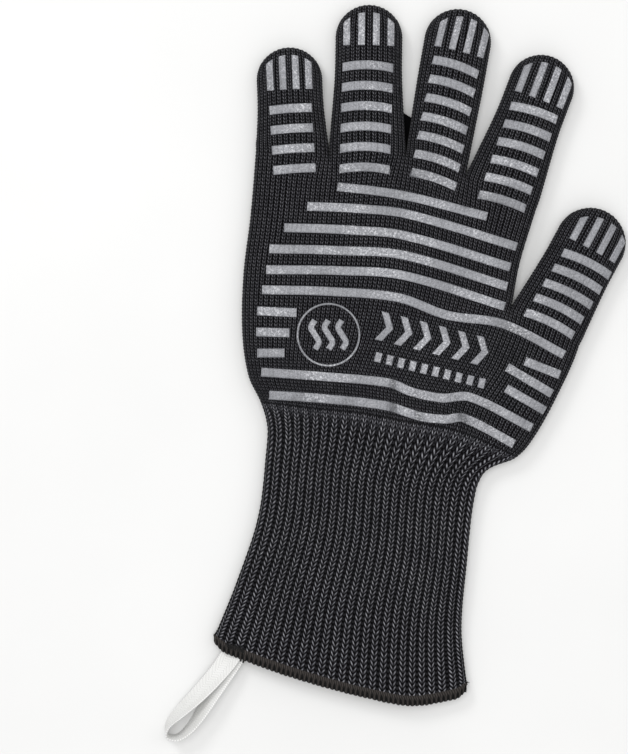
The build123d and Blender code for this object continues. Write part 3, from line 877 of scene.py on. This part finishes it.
def make_palm_and_cuff():
    """Knit and lining from the roots of the digits to the hem."""
    wrist = ("wrist_fold", WRIST_REACH)
    faces = [FACES[("palm", sign)] for sign, _ in SIDES]
    for face, (sign, side) in zip(faces, SIDES):
        keep = palm_only(face.v[:LAST_ROW_AT, None], face.u[None, :-1])
        hand_nodes, cuff_nodes = (["palm_shell"], ["cuff_shell"]) if sign > 0 else ([], [])
        make_piece(f"knit_{side}", [face_grid(face, HAND_ROWS, keep)], KNIT, "hand", *hand_nodes)
        make_piece(f"cuff_knit_{side}", [face_grid(face, CUFF_ROWS)], RIBBED, wrist, *cuff_nodes)
    hand_lining = [lining_grid(face, HAND_ROWS, palm_only) for face in faces]
    make_piece("lining_hand", hand_lining, LINING, "hand", "palm_liner")
    make_piece("lining_cuff", [lining_grid(face, CUFF_ROWS) for face in faces], LINING, wrist, "cuff_liner")


def digit_bends(name):
    """Row of a digit's grid midway between its folds, and the joint and reach of each of its parts."""
    digit = DIGITS[name]
    joints = f"{name}_knuckle_fold", f"{name}_middle_fold"
    first, second = (np.array(JOINTS[joint]["pos_m"][:2]) / MM for joint in joints)
    middle = (first + second) / 2
    y = float((middle - digit.origin) @ digit.along)
    v = digit.base_v - y / digit.length * (digit.base_v - digit.v[0])
    row = int(round((v - digit.v[0]) * ALONG))
    reach = min(FOLD_REACH, float(np.linalg.norm(second - first)) / 2 - FOLD_ROOM)
    bends = {"proximal": (joints[0], KNUCKLE_REACH[name]), "distal": (joints[1], reach)}
    return row // ALONG * ALONG, bends


def shade_sheet_grid():
    """A black sheet of knit that paints the shade at the low end of the narrow gap between the ring and
    middle fingers.
    """
    rows = slice(-int(SHADE_SHEET_LENGTH / COURSE * ALONG), None)
    ring, middle = DIGITS["ring"], DIGITS["middle"]
    left, right = ring.xy[rows, -1], middle.xy[rows, 0]
    gap = right - left
    over = SHADE_SHEET_OVERLAP * gap / np.linalg.norm(gap, axis=1, keepdims=True).clip(0.1)
    t = np.linspace(0.0, 1.0, 7)[None, :, None]
    xy = (left - over)[:, None] * (1 - t) + (right + over)[:, None] * t
    z = np.full(xy.shape[:2], SHADE_SHEET_Z)
    # relief 0.1 lies below the knit's hollows, so the whole sheet is painted black as shade
    return (np.concatenate([xy, z[..., None]], axis=-1), t[..., 0], ring.v[rows, None], 0.1, False, None)


def make_digit(name):
    """Knit and lining of a digit's two parts."""
    split, bends = digit_bends(name)
    faces = [FACES[(name, sign)] for sign, _ in SIDES]
    end = len(DIGITS[name].v)
    for part, rows, lined in (
        ("distal", slice(0, split + 1), slice(2 * ALONG, split + 1)),
        ("proximal", slice(split, end), slice(split, end)),
    ):
        grids = [face_grid(face, rows) for face in faces]
        # the black sheet of painted shade in the gap rides on the ring finger's lower part
        if f"{name}_{part}" == "ring_proximal":
            grids.append(shade_sheet_grid())
        make_piece(f"{name}_{part}_knit", grids, KNIT, bends[part], f"{name}_{part}_shell")
        grids = [lining_grid(face, lined) for face in faces]
        make_piece(f"{name}_{part}_lining", grids, LINING, bends[part], f"{name}_{part}_liner")


# ------------ what the print lies on
class Cloth:
    """The bare cloth of one side as a surface that print is dropped onto."""

    def __init__(self, sign):
        self.sign = sign
        verts, quads, uvs, first = [], [], [], 0
        for (name, side), face in FACES.items():
            if side != sign:
                continue
            rows, cols = slice(None, None, ALONG // 2), slice(None, None, ACROSS // 2)
            u, v = np.meshgrid(face.u[cols], face.v[rows])
            keep = palm_only(v[:-1, :-1], u[:-1, :-1]) if name == "palm" else None
            quads.append(grid_faces(*u.shape, first, False, keep))
            verts.append(face.cloth[rows, cols].reshape(-1, 3))
            uvs.append(np.stack([u, v], -1).reshape(-1, 2))
            first += u.size
        self.verts, self.quads, self.uvs = map(np.concatenate, (verts, quads, uvs))
        self.tree = BVHTree.FromPolygons(self.verts.tolist(), self.quads.tolist())

    def drop(self, xy):
        """Place, normal and stitch coordinates of the cloth at each point of the plan."""
        far = 100.0 * self.sign
        down = Vector((0.0, 0.0, -self.sign))
        found = []
        for x, y in xy.reshape(-1, 2).tolist():
            spot, normal, index, _ = self.tree.ray_cast(Vector((x, y, far)), down)
            if spot is None:
                spot, normal, index, _ = self.tree.find_nearest(Vector((x, y, EDGE_Z)))
            found.append((*spot, *normal, index))
        found = np.array(found)
        spot, normal, index = found[:, :3], found[:, 3:6], found[:, 6].astype(int)
        normal *= np.where(normal[:, 2:3] * self.sign < 0, -1.0, 1.0)
        corners = self.verts[self.quads[index]][..., :2]
        ends = self.uvs[self.quads[index]]
        rel = spot[:, :2] - corners[:, 0]
        a, b = corners[:, 3] - corners[:, 0], corners[:, 1] - corners[:, 0]
        det = a[:, 0] * b[:, 1] - a[:, 1] * b[:, 0]
        det = np.where(np.abs(det) < 1e-9, 1e-9, det)
        s = np.clip((rel[:, 0] * b[:, 1] - rel[:, 1] * b[:, 0]) / det, 0, 1)
        t = np.clip((a[:, 0] * rel[:, 1] - a[:, 1] * rel[:, 0]) / det, 0, 1)
        uv = ends[:, 0] + s[:, None] * (ends[:, 3] - ends[:, 0]) + t[:, None] * (ends[:, 1] - ends[:, 0])
        shape = xy.shape[:-1]
        return spot.reshape(*shape, 3), normal.reshape(*shape, 3), uv.reshape(*shape, 2)


CLOTHS = {sign: Cloth(sign) for sign, _ in SIDES}


# ------------ the print
def marks(length):
    """Distances across a patch of print: close together at its borders."""
    count = max(2, int(round((length - 2 * PRINT_INSET) / PRINT_STEP)) + 1)
    inner = np.linspace(PRINT_INSET, length - PRINT_INSET, count)
    return np.concatenate([PRINT_LINES, inner, length - PRINT_LINES[::-1]])


def border(along, across, closed=False):
    """Distance from each point of a patch to its border, from its marks."""
    side = np.minimum(across, across[-1] - across)[None]
    if closed:
        return np.broadcast_to(side, (len(along), len(across)))
    return np.minimum(side, np.minimum(along, along[-1] - along)[:, None])


def lay(patch, gap, sign):
    """One patch of print on the cloth, as a grid tuple. The patch's rows run along it."""
    spot, normal, uv = CLOTHS[sign].drop(patch)
    height, out = stitch(uv[..., 0], uv[..., 1])
    rise = -PRINT_SINK + rounded(gap / PRINT_ROUND) * (PRINT_SINK + PRINT + SHOW_THROUGH * height)
    points = spot + normal * rise[..., None]
    a = patch[1, 0] - patch[0, 0]
    b = patch[0, 1] - patch[0, 0]
    turned = a[0] * b[1] - a[1] * b[0] < 0
    # painted shade over the hollows of the stitches under the print, and at the bottom of creases
    out = 0.35 + 0.65 * out
    if sign > 0:
        out = out * (1.0 - CREASE_SHADE * np.clip(-wrinkles(patch) / CREASE_DEPTH, 0.0, 1.0))
    return (points, uv[..., 0], uv[..., 1], out, (sign < 0) != turned, None)


def strip(points, width=BAR):
    """A stripe of even width along a curve through points."""
    fine, run = along_path(points, 0.2)
    s, t = marks(run[-1]), marks(width)
    centre, way = read_at(s, run, fine), unit(read_at(s, run, np.gradient(fine, axis=0)))
    side = np.stack([way[:, 1], -way[:, 0]], axis=1)
    return centre[:, None] + (t - width / 2)[None, :, None] * side[:, None], border(s, t)


def badge(centre, radius):
    """Patches of a ring with three wavy heat lines in it."""
    turn = np.linspace(0, 2 * np.pi, int(2 * np.pi * radius / PRINT_STEP) + 1)
    t = marks(RING)
    way = np.stack([np.cos(turn), -np.sin(turn)], axis=1)
    ring = np.array(centre) + (radius - RING + t)[None, :, None] * way[:, None]
    patches = [(ring, border(turn, t, closed=True))]
    half, sway = HEAT_HALF * radius, HEAT_SWAY * radius
    for i in (-1, 0, 1):
        x, y = centre[0] + HEAT_PITCH * radius * i, centre[1]
        line = [(x, y - half), (x + sway, y - half / 2), (x, y), (x - sway, y + half / 2), (x, y + half)]
        patches.append(strip(line, HEAT_WIDTH * radius))
    return patches


def leaned(centre, lean, x, y):
    """Points of a frame that leans from +Y towards +X, in the plan."""
    c, s = turned_by(lean)
    return np.stack([centre[0] + x * c + y * s, centre[1] - x * s + y * c], axis=-1)


def chevrons(centre, lean, count):
    """A row of chevrons that point along it."""
    half = CHEVRON_HEIGHT / 2
    upper = marks(half)[: -len(PRINT_LINES)]
    y = np.concatenate([upper, [half], CHEVRON_HEIGHT - upper[::-1]])
    t = marks(CHEVRON_ARM)
    down = (half - y)[:, None] + 0 * t[None]
    patches = []
    for i in range(count):
        x = i * CHEVRON_PITCH + CHEVRON_POINT * (0.5 - np.abs(down) / half) + (t - CHEVRON_ARM / 2)[None]
        patches.append((leaned(centre, lean, x, down), border(y, t)))
    return patches


def panel(width, height, arch=0.0):
    """A rectangle of print in a frame of its own: x, y and the distance to its border."""
    s, t = marks(height), marks(width)
    x = (t - width / 2)[None] + 0 * s[:, None]
    y = (height / 2 - s)[:, None] + arch * (0.6 - (2 * x / width) ** 2)
    return x, y, border(s, t)


def dashes(centre, lean, count):
    """A row of small rectangles."""
    x, y, gap = panel(*DASH)
    spots = [leaned(centre, lean, np.array(i * DASH_PITCH), np.array(0.0)) for i in range(count)]
    return [(leaned(spot, lean, x, y), gap) for spot in spots]


def make_print(name, patches, sign, follows, node_name):
    """One printed piece."""
    make_piece(name, [lay(*patch, sign) for patch in patches], SILICONE, follows, node_name)


def make_hand_print():
    """Stripes, badge and grip block on each side of the hand."""
    for title, patches, sign in (
        ("palm_stripes", [strip(route) for route in PALM_STRIPES], 1),
        ("back_stripes", [strip(route) for route in BACK_STRIPES], -1),
        ("palm_badge", badge(*PALM_BADGE), 1),
        ("back_badge", badge(*BACK_BADGE), -1),
        ("palm_grip_block", chevrons(*PALM_CHEVRONS) + dashes(*DASHES), 1),
        ("back_grip_block", chevrons(*BACK_CHEVRONS), -1),
    ):
        make_print(f"print_{title}", patches, sign, "hand", title)


def digit_bars(digit):
    """Cross bars and lengthwise tip bars of a digit, with how far up it each one's middle is."""
    count, width, first, pitch, slope, shift_first, shift_last, arch = BARS[digit.name]
    bars = []
    for i in range(count):
        middle = digit.length - first - i * pitch
        shift = shift_first + (shift_last - shift_first) * i / (count - 1)
        x, y, gap = panel(width, BAR, arch)
        patch = leaned((0.0, 0.0), slope, x, y) + (shift, middle)
        bars.append((middle, digit.place(patch), gap))
    low, shift, pitch, slope = TIP_BARS[digit.name]
    round_y = digit.length - digit.r
    s, t = marks(low), marks(TIP_BAR)
    for i in range(TIP_COUNT):
        x = (i - (TIP_COUNT - 1) / 2) * pitch + t - TIP_BAR / 2
        arc = np.sqrt(np.maximum(1 - (x / (digit.r - TIP_SIDE)) ** 2, 0.0))
        high = round_y + (digit.r - TIP_TOP) * arc
        y = high[None] - (high - digit.length + low)[None] * (s / low)[:, None]
        patch = leaned((0.0, round_y), slope, x[None] + 0 * y, y - round_y) + (shift, 0.0)
        bars.append((digit.length, digit.place(patch), border(s * (1 - TIP_SHORT / low), t)))
    return bars


def make_digit_print(name):
    """The bars on both sides of a digit's two parts."""
    split, bends = digit_bends(name)
    digit = DIGITS[name]
    split_y = (digit.base_v - digit.v[split]) / (digit.base_v - digit.v[0]) * digit.length
    bars = digit_bars(digit)
    for sign, side in SIDES:
        for part, bend in bends.items():
            patches = [bar for middle, *bar in bars if (middle > split_y) == (part == "distal")]
            title = f"{name}_{part}_{side}"
            make_print(f"{title}_print", patches, sign, bend, f"{title}_grips")


# ------------ overlocked hem
def hem_side(sign):
    """Threads over the edge of one ply: a satin band, round the edge in loops, and back inside."""
    u = np.linspace(0, EDGES[-1], int(HEM_LENGTH / HEM_STEP) + 1)
    rows_v = np.linspace(BAND_V, HEM_V, HEM_ROWS)
    xy = plan(rows_v, u)
    run = run_along(xy[-1])
    top, under = heights(xy, rows_v, grid_distance(xy, 1, 8))
    points, normal = surface(xy, top if sign > 0 else under, sign)
    reach = np.linalg.norm(xy - xy[-1:], axis=-1)
    satin = wave(run[None] / SATIN_PITCH + SATIN_SLANT * reach)
    loops = np.abs(np.sin(np.pi * (run / LOOP_PITCH)))[None] ** 0.7
    rise = smooth(np.arange(float(HEM_ROWS)), -0.5, 1.5)[:, None]
    low = 1.0 - smooth(reach, *LOOP_OVER)
    threads = HEM_HOLLOW * satin * (1 - low) + 0.8 * (loops - 0.75) * low
    outer = points + normal * (rise * (HEM_SINK + HEM_STAND - HEM_HOLLOW + threads) - HEM_SINK)[..., None]
    teeth = loops**6.5
    way = unit(points[-1] - points[-3])
    turn = np.linspace(0, np.pi, HEM_ROWS)[1:, None, None]
    half = (PLY + HEM_STAND) / 2
    middle = points[-1] - normal[-1] * (half - HEM_STAND)
    bulge = 0.75 + 0.65 * loops[0]
    edge = middle + normal[-1] * (half * np.cos(turn)) + way * (bulge[:, None] * np.sin(turn))
    inside = points[::-1][1:] - normal[::-1][1:] * PLY
    # painted shade: darker in the hollows between the satin threads and between the loops at the edge, and
    # dark on the inner ply
    relief = np.concatenate([
        (0.22 + 0.78 * satin) * (1 - low) + (0.62 * teeth + 0.10 * satin) * low,
        np.repeat(0.55 * teeth, HEM_ROWS - 1, axis=0),
        np.full((HEM_ROWS - 1, len(u)), 0.1),
    ])
    rows = np.arange(len(relief))[:, None] * 0.5
    points = np.concatenate([outer, edge, inside])
    return (points, run[None] / SATIN_PITCH, rows, relief, sign < 0, None)


def make_hem():
    """Thread binding round the whole hem."""
    make_piece("hem_overlock", [hem_side(sign) for sign, _ in SIDES], HEM, "cuff", "hem_binding")


# ------------ hanging tape
def make_tape():
    """The folded twill tape, as one flat strip with a herringbone weave."""
    route, run = along_path(TAPE_ROUTE, 0.3)
    centre, lean = route[:, :3], np.radians(route[:, 3])
    way = unit(np.gradient(centre, axis=0))
    level = unit(np.stack([way[:, 1], -way[:, 0], 0 * run], axis=1))
    across = level * np.cos(lean)[:, None] - np.array([0, 0, 1.0]) * np.sin(lean)[:, None]
    face_way = np.cross(across, way)
    t = np.linspace(-TAPE_HALF, TAPE_HALF, TAPE_LINES)
    slant = np.abs((t / WEAVE_TURN + 0.5) % 2.0 - 1.0) * WEAVE_TURN
    weave = wave((run[:, None] + slant[None]) / WEAVE_PITCH)
    cup = TAPE_CUP * (t / TAPE_HALF)[None] ** 2
    edge = rounded((TAPE_HALF - np.abs(t)) / TAPE_EDGE)[None]
    grids = []
    for side in (1, -1):
        lift = cup + side * (TAPE_CORE + WEAVE_RISE * weave) * edge
        points = centre[:, None] + across[:, None] * t[None, :, None] + face_way[:, None] * lift[..., None]
        points[..., 2] = np.maximum(points[..., 2], 0.3 + 0.1 * side)  # never under the floor
        # relief: painted shade in the hollows of the weave
        grids.append((points, t[None], run[:, None], 0.25 + 0.75 * weave, side > 0, None))
    swing = ("loop_swing", LOOP_REACH)
    made = make_piece("hanging_tape", grids, TAPE, swing, "hanging_loop", "hanging_loop_neck")


def tube(path, radius, phase):
    """A thread along a path, as a grid tuple."""
    path, run = along_path(path, 0.25)
    way = unit(np.gradient(path, axis=0))
    side = unit(np.cross(way, (0.0, 0.0, 1.0)))[:, None]
    other = np.cross(side[:, 0], way)[:, None]
    turn = np.linspace(0, 2 * np.pi, 9)
    size = np.minimum(1.0, np.minimum(run, run[-1] - run) / 0.3 + 0.15)[:, None, None] * radius
    ring = side * np.cos(turn)[None, :, None] + other * np.sin(turn)[None, :, None]
    relief = 0.5 + 0.5 * np.cos(turn[None] * 2 + run[:, None] * 9 + phase)
    return (path[:, None] + ring * size, turn[None], run[:, None], relief, False, None)


def make_bartack():
    """Black stitches across the tape's root, with a loose tail."""
    low, high = (np.array(corner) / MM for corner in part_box("loop_bartack"))
    threads = []
    for i in range(BARTACK_STITCHES):
        x = low[0] + (high[0] - low[0]) * (i + 0.5) / BARTACK_STITCHES
        y = (low[1] + high[1]) / 2 - (x - BARTACK_X) * BARTACK_SLOPE
        spot, normal, _ = CLOTHS[1].drop(np.array([(x - 0.4, y + 1.6), (x, y), (x + 0.4, y - 1.6)]))
        lift = HEM_STAND + np.array([[-0.3], [0.2], [-0.3]])
        threads.append(tube(spot + normal * lift, 0.3, i))
    threads += [tube(*tail) for tail in TAILS]
    make_piece("bartack_stitches", threads, BARTACK, "cuff", "loop_bartack")


make_palm_and_cuff()
for digit_name in WALES:
    make_digit(digit_name)
    make_digit_print(digit_name)
make_hand_print()
make_hem()
make_tape()
make_bartack()


# ------------ floor, light and camera, in metres
FLOOR_HALF = 3.0
LIGHT_AIM = Vector((0.0, -0.03, 0.0))
LIGHTS = {  # place, size and power
    "key": ((-0.8, 0.9, 1.1), 0.5, 7.0),
    "top": ((-0.1, 0.05, 1.5), 1.1, 12.6),
    "fill": ((1.1, 0.3, 1.2), 1.0, 3.0),
    "low": ((0.2, -1.2, 1.0), 1.0, 2.3),
}
SKY = 0.65  # strength of the even white light from all sides
CAMERA_AT = (-0.03185, -0.03008, 1.005)
LENS = 100.0


def make_floor():
    """A pale sheet of paper, far larger than the view."""
    mesh = bpy.data.meshes.new("floor")
    corners = [(x * FLOOR_HALF, y * FLOOR_HALF, 0) for x, y in ((-1, -1), (1, -1), (1, 1), (-1, 1))]
    mesh.from_pydata(corners, [], [(0, 1, 2, 3)])
    material, tree, shader = new_material("floor_paper", {"Roughness": 0.7})
    tone = ramp(tree, noise(tree, 6.0), [(0.3, (0.66, 0.66, 0.655)), (0.7, (0.69, 0.69, 0.685))])
    tree.links.new(tone, shader.inputs["Base Color"])
    mesh.materials.append(material)
    add_object("floor", mesh)


def make_lights():
    """Four soft lamps and an even white surrounding."""
    for name, (place, size, power) in LIGHTS.items():
        light = bpy.data.lights.new(name, "AREA")
        light.size = size
        light.energy = power
        made = add_object(name, light)
        made.location = place
        made.rotation_euler = (LIGHT_AIM - Vector(place)).to_track_quat("-Z", "Y").to_euler()
    world = bpy.data.worlds.new("studio")
    world.use_nodes = True
    background = world.node_tree.nodes["Background"]
    background.inputs["Color"].default_value = (1.0, 1.0, 1.0, 1.0)
    background.inputs["Strength"].default_value = SKY
    bpy.context.scene.world = world
    bpy.context.scene.view_settings.view_transform = "Standard"


def make_camera():
    """A camera straight above the glove."""
    camera = bpy.data.cameras.new("camera")
    camera.lens = LENS
    made = add_object("camera", camera)
    made.location = CAMERA_AT
    bpy.context.scene.camera = made


make_floor()
make_lights()
make_camera()
